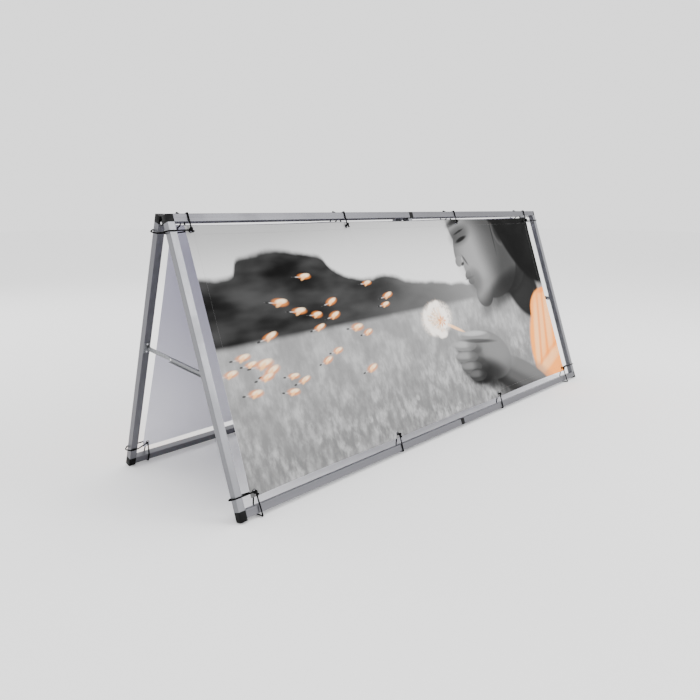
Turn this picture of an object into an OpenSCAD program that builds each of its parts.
// Folding A-frame banner board: two tube frames hinged along the top,
// each with a printed banner hung in it on elastic ties.
// Origin: centre of the footprint, on the ground. +X along the board, front frame toward -Y.

/* [Frame] */
// Overall length of each frame, along X
frame_l = 2700; // [1800:10:3200]
// Height of each frame, measured up its slope
frame_h = 1100; // [900:10:1300]
// Side of the square tube
tube = 29; // [25:1:35]
// Wall of the tube
tube_wall = 1.5; // [1.2:0.1:2.5]
// Radius of the tube's outer edges
tube_edge = 1.2; // [0.8:0.1:1.5]
// Lean of each frame from the vertical when the board stands open
lean = 19.2; // [14:0.2:24]

/* [Connectors] */
// Length of the spigots inside the tubes
spigot_l = 45; // [30:5:60]
// Clearance of a spigot in its tube, on each side
spigot_gap = 0.15; // [0.1:0.05:0.3]
// Length of the plain end caps at the right-hand end
cap_l = 13; // [13:1:20]
// Depth of the feet below the bottom rail
foot_drop = 8.5; // [8:0.5:14]
// Depth of the flat ground off the lowest edge of each foot
foot_flat = 2; // [1.5:0.5:3]
// Place of the front frame's rail joiners along X
front_joint_x = 45; // [40:1:60]
// Place of the back frame's rail joiners along X
back_joint_x = 3; // [-5:1:5]

// Depth of the plugs inside the stub tubes
plug_l = 15; // [12:1:18]
// Thickness of the cap on the end of each stub tube
stub_cap_t = 3; // [2:0.5:5]

/* [Hinge] */
// Distance of each frame's top inner edge from the fold line's upright plane
top_gap = 6.5; // [6.5:0.1:8]
// Distance of the fold axis from the inner face of each frame
hinge_reach = 14; // [13:0.5:18]
// Radius of the hinge lugs
lug_r = 8; // [7:0.5:9]
// Thickness of the hinge lugs
lug_t = 5; // [4:0.5:5]
// Diameter of the hinge pins
hinge_pin_d = 6; // [5:0.5:7]
// Depth of the centre hinge's stub tubes
stub_depth = 18; // [15:1:18]
// Length of the centre hinge's stub tubes
stub_l = 110; // [90:5:160]
// Thickness of the centre hinge's ears
centre_ear_t = 4; // [3:0.5:5]
// Radius of the hinge pins' heads
pin_head_r = 5; // [4.5:0.1:6]
// Thickness of the hinge pins' heads
pin_head_t = 2; // [1.5:0.1:2]
// Length of the centre hinge's plates below the rails
arm_l = 64; // [60:1:70]
// Depth of the upper rivet of each centre hinge plate below the rail
arm_fix_high = 24; // [20:1:26]
// Depth of the lower rivet of each centre hinge plate below the rail
arm_fix_low = 50; // [44:1:54]

/* [Fits] */
// Running clearance around the pins, on the radius
clear = 0.05; // [0.02:0.01:0.09]
// Play between pieces along a pin
play = 0.1; // [0.05:0.05:0.2]
// Gap between the side-by-side layers of the stays and lugs
layer_gap = 0.5; // [0.3:0.1:0.7]
// Gap between a cord or knot and the piece that it passes
skin = 0.15; // [0.1:0.05:0.3]

/* [Folding stay] */
// Distance of the rear pivot from the fold axis
stay_rear = 512; // [450:2:540]
// Distance of the front pivot from the fold axis
stay_front = 552; // [550:2:640]
// Height of the front link's channel
channel_h = 20; // [16:1:20]
// Depth of the front link's channel
channel_d = 9; // [7:0.5:10]
// Sheet thickness of the channel and of the brackets
sheet = 1.5; // [1.2:0.1:1.5]
// Height of the rear link's bar
bar_h = 16.4; // [14:0.2:17]
// Thickness of the rear link's bar
bar_t = 4; // [3:0.5:4.5]
// Height of the rear link's narrow end at the knee
bar_tip_h = 12.8; // [10:0.2:14]
// Length of the rear link's narrow end
bar_tip_l = 47; // [30:1:60]
// Diameter of the stay's rivets
rivet_d = 5; // [4:0.5:6]
// Thickness of the rivet heads
head_t = 1.5; // [1:0.1:2]
// Thickness of the brackets' ears
ear_t = 3; // [2:0.5:4]
// Radius of the brackets' ears
ear_r = 7; // [6:0.5:8]
// Thickness of the brackets' plates
plate_t = 2; // [1.5:0.1:2.2]
// Length of the brackets' plates
plate_l = 44; // [42:1:60]
// Width of the brackets' plates
plate_w = 26; // [22:0.5:26]
// Diameter of the blind rivets
fixing_d = 4; // [3:0.2:4.8]
// Distance of the blind rivets from the stay pivots
fixing_off = 16; // [15:0.5:17]
// Thickness of the blind rivets' heads
fixing_head_t = 1.2; // [0.8:0.1:1.2]

/* [Banner] */
// Thickness of the banner
banner_t = 1; // [0.8:0.1:1.5]
// Inset of the banner's left edge from the frame's left end
banner_left = 68; // [60:1:90]
// Inset of the banner's right edge from the frame's right end
banner_right = 122; // [60:1:140]
// Inset of the banner's upper edge from the frame's upper edge
banner_top = 42; // [40:1:60]
// Inset of the banner's lower edge from the frame's lower edge
banner_low = 58; // [50:1:70]
// Depth of the banner behind the frame's front face
banner_depth = 7; // [6.5:0.5:9]
// Inset of the eyelets from the banner's edges
eyelet_inset = 20; // [15:1:30]
// Radius of the eyelets' holes
eyelet_r = 5; // [5:0.1:6]
// Outer radius of the eyelets
eyelet_rim = 8.5; // [8:0.5:12]
// Thickness of the eyelets' flanges
eyelet_t = 1.2; // [0.8:0.1:1.5]
// Wall of the eyelets' barrels
barrel_wall = 0.6; // [0.4:0.1:0.8]

/* [Ties] */
// Diameter of the elastic ties
cord_d = 5.5; // [4.5:0.1:5.5]
// How far a leg loop stands off the leg's outer face
loop_slack = 20; // [12:1:30]
// Radius of the ties' knots
knot_r = 4.9; // [4:0.1:4.9]
// Distance of the left middle ties from the middle of the board
tie_left = 445; // [300:5:600]
// Distance of the right middle ties from the middle of the board
tie_right = 430; // [300:5:600]
// How far each cord lies off its eyelet's centre
cord_shift = 1.5; // [1:0.1:1.8]
// How far each knot lies off its eyelet's centre
knot_shift = 3.4; // [3:0.1:3.6]

/* [Hidden] */
$fn = 32;
cord_r = cord_d / 2;
cord_bend = cord_r + 0.45;
cord_lap = 0.4;
cord_swell = 0.08;
stand_off = cord_r + skin;
inner = tube - 2 * tube_wall;
spigot = inner - 2 * spigot_gap;
half_l = frame_l / 2;
far = 4 * frame_h;

// Fold axis in a frame's own coordinates: depth from the front face and height up the slope
hinge_drop = (hinge_reach - top_gap * cos(lean)) / sin(lean);
axis_n = tube + hinge_reach;
axis_z = frame_h + top_gap * sin(lean) - hinge_drop * cos(lean);
// Where a frame's lower front edge lies when the board stands on its feet
frame_z = tube * sin(lean) + foot_drop * cos(lean) - foot_flat;
frame_y = -top_gap - tube * cos(lean) - frame_h * sin(lean);

// Folding stay: straight when the board is open, folded flat upward when it is shut
stay_span = sqrt(stay_rear ^ 2 + stay_front ^ 2 - 2 * stay_rear * stay_front * cos(2 * lean));
front_link_l = (stay_span + stay_front - stay_rear) / 2;
rear_link_l = (stay_span - stay_front + stay_rear) / 2;
front_link_a = acos((stay_front ^ 2 + stay_span ^ 2 - stay_rear ^ 2) / (2 * stay_front * stay_span));
rear_link_a = acos((stay_rear ^ 2 + stay_span ^ 2 - stay_front ^ 2) / (2 * stay_rear * stay_span));
stay_x = half_l - tube / 2;
bar_x = sheet + layer_gap;
front_ear_x = sheet + layer_gap;
rear_ear_x = bar_x + bar_t + layer_gap;

// Banner and its eyelets
banner_x0 = -half_l + banner_left;
banner_x1 = half_l - banner_right;
banner_z0 = banner_low;
banner_z1 = frame_h - banner_top;
barrel_r = eyelet_r + barrel_wall;
mid_x = [-tie_left, tie_right];
eyelet_lift = banner_depth - banner_t / 2 - eyelet_t;
knot_n = -stand_off;
back_n = banner_depth + banner_t / 2 + eyelet_t + cord_r + skin;

stub_n = tube - stub_depth;
stub_z = frame_h - tube;

silver = [0.72, 0.73, 0.75];
steel = [0.62, 0.63, 0.65];
black = [0.09, 0.09, 0.09];
print_grey = [0.66, 0.66, 0.67];

// ---- Shared shapes ----

module front() translate([0, frame_y, frame_z]) rotate([-lean, 0, 0]) children();

module back() mirror([0, 1, 0]) front() children();

module rounded_section(w, d, r) {
    translate([r, 0]) square([w - 2 * r, d]);
    translate([0, r]) square([w, d - 2 * r]);
    for (x = [r, w - r], y = [r, d - r]) translate([x, y]) circle(r);
}

module tube_section(w, d) {
    difference() {
        rounded_section(w, d, tube_edge);
        translate([tube_wall, tube_wall]) square([w - 2 * tube_wall, d - 2 * tube_wall]);
    }
}

// Tube along X from x0 to x1, with its lower front edge at height z
module rail_tube(x0, x1, z) {
    translate([x0, 0, z]) rotate([90, 0, 90]) linear_extrude(x1 - x0) tube_section(tube, tube);
}

// Plug that fills a tube along X
module rail_spigot(x0, x1, z) {
    edge = tube_wall + spigot_gap;
    translate([x0, edge, z + edge]) cube([x1 - x0, spigot, spigot]);
}

// Plug that fills a leg, from z0 to z1
module leg_spigot(x, z0, z1) {
    edge = tube_wall + spigot_gap;
    translate([x + edge, edge, z0]) cube([spigot, spigot, z1 - z0]);
}

// Lug from a frame's inner face out to the fold axis, from x0 to x0 + width
module hinge_lug(x0, width) {
    translate([x0, 0, 0]) rotate([90, 0, 90]) linear_extrude(width) difference() {
        union() {
            translate([axis_n, axis_z]) circle(lug_r);
            polygon([[tube - 1, frame_h - tube + 1], [tube - 1, axis_z + lug_r - 1],
                     [axis_n, axis_z + lug_r - 0.1], [axis_n + lug_r * 0.3, axis_z - lug_r * 0.94]]);
        }
        translate([axis_n, axis_z]) circle(hinge_pin_d / 2 + clear);
    }
}

// Everything below the ground, in a frame's own coordinates
module below_ground() {
    rotate([lean, 0, 0]) translate([-far, -far, -frame_z - far]) cube([2 * far, 2 * far, far]);
}

// Closed cord along a flat outline, with a bend of cord_bend at every corner.
// The straight runs reach a little into the bends, which are a hair thicker.
function unit(v) = v / norm(v);
function turn_at(p, i) =
    let (n = len(p), u = unit(p[i] - p[(i + n - 1) % n]), v = unit(p[(i + 1) % n] - p[i]))
    atan2(u.x * v.y - u.y * v.x, u * v);
function run_in(p, i) = cord_bend * tan(abs(turn_at(p, i)) / 2);

module closed_cord(p) {
    n = len(p);
    for (i = [0 : n - 1]) {
        j = (i + 1) % n;
        v = unit(p[j] - p[i]);
        start = p[i] + v * (run_in(p, i) - cord_lap);
        length = norm(p[j] - p[i]) - run_in(p, i) - run_in(p, j) + 2 * cord_lap;
        translate([start.x, start.y, 0]) rotate([0, 0, atan2(v.y, v.x)]) rotate([0, 90, 0])
            cylinder(r = cord_r, h = length);
        cord_corner(p, i);
    }
}

module cord_corner(p, i) {
    n = len(p);
    u = unit(p[i] - p[(i + n - 1) % n]);
    turn = turn_at(p, i);
    side = sign(turn);
    entry = p[i] - u * run_in(p, i);
    centre = entry + side * cord_bend * [-u.y, u.x];
    heading = atan2(u.y, u.x);
    start = side > 0 ? heading - 90 : heading + 90 + turn;
    translate([centre.x, centre.y, 0]) rotate([0, 0, start])
        rotate_extrude(angle = abs(turn)) translate([cord_bend, 0]) circle(cord_r + cord_swell);
}

// Outlines of the loops: first number away from the eyelet, second back from the frame's face.
// reach is the distance from the eyelet's cord to the tube.
function loop_start(reach) = [[0, knot_n], [0, back_n], [reach - 1.5, tube + stand_off]];

function tight_loop(reach) = concat(loop_start(reach), [
    [reach + tube + stand_off, tube + stand_off],
    [reach + tube + stand_off, -stand_off]]);

function slack_loop(reach) = concat(loop_start(reach), [
    [reach + tube + 1.3, tube + stand_off],
    [reach + tube + loop_slack, tube / 2],
    [reach + tube + 1.3, -stand_off]]);

function ground_loop(reach) = concat(loop_start(reach), [
    [reach + tube + 2.2, tube + stand_off],
    [reach + tube + foot_drop + 6, -10]]);

module knot(x, z) translate([x, knot_n, z]) sphere(knot_r);

// ---- Tubes ----

module top_rail_left(joint_x) {
    color(silver) rail_tube(-half_l + tube, joint_x - tube / 2, frame_h - tube);
}

module top_rail_right(joint_x) {
    color(silver) difference() {
        rail_tube(joint_x + tube / 2, half_l - cap_l, frame_h - tube);
        leg_notch(frame_h - tube - 1);
    }
}

module bottom_rail_left(joint_x) {
    color(silver) rail_tube(-half_l + tube, joint_x - tube / 2, 0);
}

module bottom_rail_right(joint_x) {
    color(silver) difference() {
        rail_tube(joint_x + tube / 2, half_l - cap_l, 0);
        leg_notch(tube - tube_wall - 1);
    }
}

// Slot in a rail's wall that lets the right-hand leg's spigot into the rail
module leg_notch(z) {
    translate([half_l - tube + tube_wall, tube_wall, z]) cube([tube, inner, tube_wall + 2]);
}

module leg(x, plate_z) {
    color(silver) difference() {
        translate([x, 0, tube]) linear_extrude(frame_h - 2 * tube) tube_section(tube, tube);
        for (z = [-fixing_off, fixing_off]) translate([x + tube / 2, tube - tube_wall - 1, plate_z + z])
            rotate([-90, 0, 0]) cylinder(d = fixing_d + 2 * clear, h = tube_wall + 2);
    }
}

module centre_stub(joint_x) {
    color(silver) difference() {
        translate([joint_x - tube / 2, stub_n, stub_z - stub_l]) linear_extrude(stub_l)
            tube_section(tube, stub_depth);
        for (z = arm_fixings()) translate([joint_x, tube - tube_wall - 1, z]) rotate([-90, 0, 0])
            cylinder(d = fixing_d + 2 * clear, h = tube_wall + 2);
    }
}

function arm_fixings() = [stub_z - arm_fix_low, stub_z - arm_fix_high];

// ---- Moulded connectors ----

module corner_top_left(lug_x) {
    color(black) {
        translate([-half_l, 0, frame_h - tube]) cube(tube);
        rail_spigot(-half_l + tube, -half_l + tube + spigot_l, frame_h - tube);
        leg_spigot(-half_l, frame_h - tube - spigot_l, frame_h - tube);
        hinge_lug(-half_l + lug_x, lug_t);
    }
}

module corner_top_right(lug_x) {
    color(black) {
        translate([half_l - cap_l, 0, frame_h - tube]) cube([cap_l, tube, tube]);
        rail_spigot(half_l - cap_l - spigot_l, half_l - cap_l, frame_h - tube);
        leg_spigot(half_l - tube, frame_h - tube - spigot_l, frame_h - 2 * tube_wall);
        hinge_lug(half_l - lug_x - lug_t, lug_t);
    }
}

module corner_bottom_left() {
    color(black) {
        difference() {
            translate([-half_l, 0, -foot_drop]) cube([tube, tube, tube + foot_drop]);
            below_ground();
        }
        rail_spigot(-half_l + tube, -half_l + tube + spigot_l, 0);
        leg_spigot(-half_l, tube, tube + spigot_l);
    }
}

module corner_bottom_right() {
    color(black) {
        difference() {
            translate([half_l - cap_l, 0, -foot_drop]) cube([cap_l, tube, tube + foot_drop]);
            below_ground();
        }
        rail_spigot(half_l - cap_l - spigot_l, half_l - cap_l, 0);
        leg_spigot(half_l - tube, 2 * tube_wall, tube + spigot_l);
    }
}

module rail_joiner(joint_x, z) {
    translate([joint_x - tube / 2, 0, z]) cube(tube);
    rail_spigot(joint_x - tube / 2 - spigot_l, joint_x + tube / 2 + spigot_l, z);
}

module joiner_top(joint_x) {
    edge = tube_wall + spigot_gap;
    color(black) {
        rail_joiner(joint_x, frame_h - tube);
        translate([joint_x - tube / 2 + edge, stub_n + edge, stub_z - plug_l])
            cube([spigot, stub_depth - 2 * edge, plug_l]);
    }
}

module joiner_bottom(joint_x) {
    color(black) rail_joiner(joint_x, 0);
}

module stub_cap(joint_x) {
    edge = tube_wall + spigot_gap;
    color(black) {
        translate([joint_x - tube / 2, stub_n, stub_z - stub_l - stub_cap_t])
            cube([tube, stub_depth, stub_cap_t]);
        translate([joint_x - tube / 2 + edge, stub_n + edge, stub_z - stub_l])
            cube([spigot, stub_depth - 2 * edge, plug_l]);
    }
}

// ---- Hinges ----

// Arm of the centre hinge: a plate on the stub and an ear at ear_x that reaches the fold axis
module hinge_arm(joint_x, ear_x) {
    low = stub_z - arm_l;
    color(steel) difference() {
        union() {
            translate([joint_x - tube / 2, tube, low]) cube([tube, plate_t, stub_z - low]);
            translate([ear_x, 0, 0]) rotate([90, 0, 90]) linear_extrude(centre_ear_t) {
                translate([axis_n, axis_z]) circle(lug_r);
                polygon([[tube + 0.5, low + 24], [tube + 0.5, stub_z],
                         [axis_n - lug_r, axis_z], [axis_n + lug_r * 0.96, axis_z - lug_r * 0.28]]);
            }
        }
        translate([ear_x - 1, axis_n, axis_z]) rotate([0, 90, 0])
            cylinder(d = hinge_pin_d + 2 * clear, h = centre_ear_t + 2);
        for (z = arm_fixings()) translate([joint_x, tube - 1, z]) rotate([-90, 0, 0])
            cylinder(d = fixing_d + 2 * clear, h = plate_t + 2);
    }
}

function front_arm_x() = front_joint_x - tube / 2;
function back_arm_x() = back_joint_x + tube / 2 - centre_ear_t;

// Pin along the fold axis, with its head at x0 and its plain end at x1
module hinge_pin(x0, x1) {
    way = sign(x1 - x0);
    translate([x0, axis_n, axis_z]) rotate([0, way * 90, 0]) {
        cylinder(r = pin_head_r, h = pin_head_t);
        cylinder(d = hinge_pin_d, h = abs(x1 - x0));
    }
}

end_lug_1 = pin_head_t + 0.5;
end_lug_2 = end_lug_1 + lug_t + layer_gap;
end_pin_l = end_lug_2 + lug_t + pin_head_t - 0.5;

module hinge_pins() {
    color(steel) {
        hinge_pin(-half_l + 0.5, -half_l + 0.5 + end_pin_l);
        hinge_pin(half_l - 0.5, half_l - 0.5 - end_pin_l);
        hinge_pin(front_arm_x() + centre_ear_t + pin_head_t, back_arm_x() - pin_head_t);
    }
}

push_cap_t = pin_head_t - 2 * play;

module push_cap(x) {
    translate([x, axis_n, axis_z]) rotate([0, 90, 0]) difference() {
        cylinder(r = pin_head_r, h = push_cap_t);
        translate([0, 0, -1]) cylinder(d = hinge_pin_d + 2 * clear, h = pin_head_t + 2);
    }
}

module hinge_caps() {
    color(steel) {
        push_cap(-half_l + end_lug_2 + lug_t + play);
        push_cap(half_l - end_lug_2 - lug_t - play - push_cap_t);
        push_cap(back_arm_x() - play - push_cap_t);
    }
}

module hinge_spacer() {
    x0 = back_arm_x() + centre_ear_t + play;
    color(steel) translate([x0, axis_n, axis_z]) rotate([0, 90, 0]) difference() {
        cylinder(r = pin_head_r, h = front_arm_x() - play - x0);
        translate([0, 0, -1]) cylinder(d = hinge_pin_d + 2 * clear, h = 2 * tube);
    }
}

// ---- Folding stays ----

// Puts one stay's parts at the left end, and their mirror image at the right end
module at_end(end) {
    mirror([end > 0 ? 1 : 0, 0, 0]) translate([-stay_x, 0, 0]) children();
}

// Bracket on a leg: a plate with an ear at ear_x that carries the pivot
module stay_bracket(pivot_z, ear_x) {
    difference() {
        union() {
            translate([-plate_w / 2, tube, pivot_z - plate_l / 2]) cube([plate_w, plate_t, plate_l]);
            translate([ear_x, 0, 0]) rotate([90, 0, 90]) linear_extrude(ear_t) {
                translate([axis_n, pivot_z]) circle(ear_r);
                translate([tube + 0.5, pivot_z - ear_r]) square([axis_n - tube - 0.5, 2 * ear_r]);
            }
        }
        translate([ear_x - 1, axis_n, pivot_z]) rotate([0, 90, 0])
            cylinder(d = rivet_d + 2 * clear, h = ear_t + 2);
        for (z = [-fixing_off, fixing_off]) translate([0, tube - 1, pivot_z + z]) rotate([-90, 0, 0])
            cylinder(d = fixing_d + 2 * clear, h = plate_t + 2);
    }
}

module stay_brackets(pivot_z, ear_x) {
    color(steel) for (end = [-1, 1]) at_end(end) stay_bracket(pivot_z, ear_x);
}

// Blind rivet through a plate of plate_t and the tube's wall
module fixing(x, z) {
    translate([x, tube + plate_t, z]) rotate([-90, 0, 0]) cylinder(d = 2 * fixing_d - 1, h = fixing_head_t);
    translate([x, tube - tube_wall - 1.5, z]) rotate([-90, 0, 0])
        cylinder(d = fixing_d, h = tube_wall + plate_t + 1.6);
    translate([x, tube - tube_wall - 3, z]) rotate([-90, 0, 0]) cylinder(d = fixing_d + 1.5, h = 3);
}

module fixings(joint_x, pivot_z) {
    color(steel) {
        for (z = arm_fixings()) fixing(joint_x, z);
        for (end = [-1, 1], z = [-fixing_off, fixing_off]) at_end(end) fixing(0, pivot_z + z);
    }
}

// Pivot rivets of the stays on one frame
module front_stay_pins() {
    color(steel) for (end = [-1, 1]) at_end(end) translate([0, axis_n, axis_z - stay_front])
        rotate([0, 90, 0]) {
            translate([0, 0, -head_t]) cylinder(d = 2 * rivet_d - 1, h = head_t);
            translate([0, 0, -head_t]) cylinder(d = rivet_d, h = 2 * head_t + front_ear_x + ear_t);
            translate([0, 0, front_ear_x + ear_t]) cylinder(d = 2 * rivet_d - 1, h = head_t);
        }
}

module back_stay_pins() {
    color(steel) for (end = [-1, 1]) at_end(end) translate([0, axis_n, axis_z - stay_rear])
        rotate([0, 90, 0]) {
            translate([0, 0, bar_x]) cylinder(d = rivet_d, h = bar_t + layer_gap + ear_t + head_t);
            translate([0, 0, rear_ear_x + ear_t]) cylinder(d = 2 * rivet_d - 1, h = head_t);
        }
}

// Outline of a bar with round ends, from the first pivot to the second along the first axis
module bar_outline(length, h0, h1) {
    circle(h0 / 2);
    translate([length, 0]) circle(h1 / 2);
    polygon([[0, -h0 / 2], [length, -h1 / 2], [length, h1 / 2], [0, h0 / 2]]);
}

// Front link: a channel with its open side outward
module front_link() {
    web = channel_h - 2 * sheet;
    color(steel) difference() {
        rotate([90, 0, 90]) translate([0, 0, sheet - channel_d]) linear_extrude(channel_d)
            bar_outline(front_link_l, channel_h, channel_h);
        rotate([90, 0, 90]) translate([0, 0, -channel_d]) linear_extrude(channel_d)
            translate([-channel_h, -web / 2]) square([front_link_l + 2 * channel_h, web]);
        for (y = [0, front_link_l]) translate([-1, y, 0]) rotate([0, 90, 0])
            cylinder(d = rivet_d + 2 * clear, h = sheet + 2);
    }
}

module front_link_at(end) {
    at_end(end) translate([0, axis_n, axis_z - stay_front]) rotate([90 - front_link_a, 0, 0]) front_link();
}

// Rear link: a flat bar, narrower toward the knee
module rear_link() {
    neck = rear_link_l - bar_tip_l;
    color(steel) difference() {
        translate([bar_x, 0, 0]) rotate([90, 0, 90]) linear_extrude(bar_t) {
            bar_outline(neck, bar_h, bar_h);
            translate([neck, 0]) bar_outline(bar_tip_l, bar_h, bar_tip_h);
        }
        translate([bar_x - 1, 0, 0]) rotate([0, 90, 0]) cylinder(d = rivet_d + 2 * clear, h = bar_t + 2);
        translate([bar_x - 1, rear_link_l, 0]) rotate([0, 90, 0])
            cylinder(d = rivet_d + 2 * clear, h = bar_t + 2);
    }
}

module rear_link_at(end) {
    at_end(end) translate([0, axis_n, axis_z - stay_rear]) rotate([90 - rear_link_a, 0, 0]) rear_link();
}

// Knee rivet: its two halves part when the stay swings
module knee_rivet_front(end) {
    color(steel) at_end(end) translate([0, axis_n, axis_z - stay_front]) rotate([90 - front_link_a, 0, 0])
        translate([0, front_link_l, 0]) rotate([0, 90, 0]) {
            translate([0, 0, -head_t]) cylinder(d = 2 * rivet_d - 1, h = head_t);
            cylinder(d = rivet_d, h = sheet);
        }
}

module knee_rivet_rear(end) {
    color(steel) at_end(end) translate([0, axis_n, axis_z - stay_rear]) rotate([90 - rear_link_a, 0, 0])
        translate([bar_x, rear_link_l, 0]) rotate([0, 90, 0]) {
            cylinder(d = rivet_d, h = bar_t);
            translate([0, 0, bar_t]) cylinder(d = 2 * rivet_d - 1, h = head_t);
        }
}

// ---- Banner, eyelets and ties ----

function corner_eyelets() = [for (x = [banner_x0 + eyelet_inset, banner_x1 - eyelet_inset],
                                  z = [banner_z0 + eyelet_inset, banner_z1 - eyelet_inset]) [x, z]];
function mid_eyelets() = [for (x = mid_x, z = [banner_z0 + eyelet_inset, banner_z1 - eyelet_inset]) [x, z]];
function eyelet_places() = concat(corner_eyelets(), mid_eyelets());

module banner() {
    color(print_grey) difference() {
        translate([banner_x0, banner_depth - banner_t / 2, banner_z0]) 
            cube([banner_x1 - banner_x0, banner_t, banner_z1 - banner_z0]);
        for (e = eyelet_places()) translate([e.x, banner_depth - banner_t, e.y]) rotate([-90, 0, 0])
            cylinder(r = barrel_r + clear, h = 2 * banner_t);
    }
}

module eyelets() {
    height = banner_t + 2 * eyelet_t;
    color(black) for (e = eyelet_places()) translate([e.x, eyelet_lift, e.y]) rotate([-90, 0, 0])
        difference() {
            union() {
                cylinder(r = eyelet_rim, h = eyelet_t);
                cylinder(r = barrel_r, h = height);
                translate([0, 0, height - eyelet_t]) cylinder(r = eyelet_rim, h = eyelet_t);
            }
            translate([0, 0, -1]) cylinder(r = eyelet_r, h = height + 2);
        }
}

// Loops in a frame's own coordinates; x and z are where the cord goes through the eyelet
module left_loop(x, z) translate([x, 0, z]) mirror([1, 0, 0]) closed_cord(slack_loop(x + half_l - tube));

module right_loop(x, z) translate([x, 0, z]) closed_cord(slack_loop(half_l - tube - x));

module top_loop(x, z) translate([x, 0, z]) rotate([0, -90, 0]) closed_cord(tight_loop(frame_h - tube - z));

module bottom_corner_loop(x, z) translate([x, 0, z]) rotate([0, 90, 0]) closed_cord(ground_loop(z - tube));

module bottom_loop(x, z) translate([x, 0, z]) rotate([0, 90, 0]) closed_cord(tight_loop(z - tube));

low_eyelet_z = banner_z0 + eyelet_inset;
high_eyelet_z = banner_z1 - eyelet_inset;
left_eyelet_x = banner_x0 + eyelet_inset;
right_eyelet_x = banner_x1 - eyelet_inset;
low_cord_z = low_eyelet_z - cord_shift;
high_cord_z = high_eyelet_z + cord_shift;

module ties_left() {
    color(black) {
        left_loop(left_eyelet_x - cord_shift, high_eyelet_z);
        top_loop(left_eyelet_x, high_cord_z);
        knot(left_eyelet_x - knot_shift, high_eyelet_z + knot_shift);
        left_loop(left_eyelet_x - cord_shift, low_eyelet_z);
        bottom_corner_loop(left_eyelet_x, low_cord_z);
        knot(left_eyelet_x - knot_shift, low_eyelet_z - knot_shift);
    }
}

module ties_right() {
    color(black) {
        right_loop(right_eyelet_x + cord_shift, high_eyelet_z);
        top_loop(right_eyelet_x, high_cord_z);
        knot(right_eyelet_x + knot_shift, high_eyelet_z + knot_shift);
        right_loop(right_eyelet_x + cord_shift, low_eyelet_z);
        bottom_corner_loop(right_eyelet_x, low_cord_z);
        knot(right_eyelet_x + knot_shift, low_eyelet_z - knot_shift);
    }
}

module ties_top() {
    color(black) for (x = mid_x) {
        top_loop(x, high_cord_z);
        knot(x, high_cord_z + knot_shift);
    }
}

module ties_bottom() {
    color(black) for (x = mid_x) {
        bottom_loop(x, low_cord_z);
        knot(x, low_cord_z - knot_shift);
    }
}

front() top_rail_left(front_joint_x);  // front_top_rail_left
front() top_rail_right(front_joint_x);  // front_top_rail_right
front() bottom_rail_left(front_joint_x);  // front_bottom_rail_left
front() bottom_rail_right(front_joint_x);  // front_bottom_rail_right
front() leg(-half_l, axis_z - stay_front);  // front_leg_left
front() leg(half_l - tube, axis_z - stay_front);  // front_leg_right
front() centre_stub(front_joint_x);  // front_centre_stub
front() stub_cap(front_joint_x);  // front_stub_cap
front() corner_top_left(end_lug_1);  // front_corner_top_left
front() corner_top_right(end_lug_1);  // front_corner_top_right
front() corner_bottom_left();  // front_corner_bottom_left
front() corner_bottom_right();  // front_corner_bottom_right
front() joiner_top(front_joint_x);  // front_joiner_top
front() joiner_bottom(front_joint_x);  // front_joiner_bottom
front() hinge_arm(front_joint_x, front_arm_x());  // front_hinge_arm
front() stay_brackets(axis_z - stay_front, front_ear_x);  // front_stay_brackets
front() front_stay_pins();
front() fixings(front_joint_x, axis_z - stay_front);  // front_fixings
front() banner();  // front_banner
front() eyelets();  // front_eyelets
front() ties_left();  // front_ties_left
front() ties_right();  // front_ties_right
front() ties_top();  // front_ties_top
front() ties_bottom();  // front_ties_bottom

back() top_rail_left(back_joint_x);  // back_top_rail_left
back() top_rail_right(back_joint_x);  // back_top_rail_right
back() bottom_rail_left(back_joint_x);  // back_bottom_rail_left
back() bottom_rail_right(back_joint_x);  // back_bottom_rail_right
back() leg(-half_l, axis_z - stay_rear);  // back_leg_left
back() leg(half_l - tube, axis_z - stay_rear);  // back_leg_right
back() centre_stub(back_joint_x);  // back_centre_stub
back() stub_cap(back_joint_x);  // back_stub_cap
back() corner_top_left(end_lug_2);  // back_corner_top_left
back() corner_top_right(end_lug_2);  // back_corner_top_right
back() corner_bottom_left();  // back_corner_bottom_left
back() corner_bottom_right();  // back_corner_bottom_right
back() joiner_top(back_joint_x);  // back_joiner_top
back() joiner_bottom(back_joint_x);  // back_joiner_bottom
back() hinge_arm(back_joint_x, back_arm_x());  // back_hinge_arm
back() stay_brackets(axis_z - stay_rear, rear_ear_x);  // back_stay_brackets
back() back_stay_pins();
back() fixings(back_joint_x, axis_z - stay_rear);  // back_fixings
back() banner();  // back_banner
back() eyelets();  // back_eyelets
back() ties_left();  // back_ties_left
back() ties_right();  // back_ties_right
back() ties_top();  // back_ties_top
back() ties_bottom();  // back_ties_bottom

front() hinge_pins();
front() hinge_caps();
front() hinge_spacer();
front() front_link_at(-1);  // left_front_link
back() rear_link_at(-1);  // left_rear_link
front() front_link_at(1);  // right_front_link
back() rear_link_at(1);  // right_rear_link
front() knee_rivet_front(-1);  // left_knee_rivet_front
back() knee_rivet_rear(-1);  // left_knee_rivet_rear
front() knee_rivet_front(1);  // right_knee_rivet_front
back() knee_rivet_rear(1);  // right_knee_rivet_rear
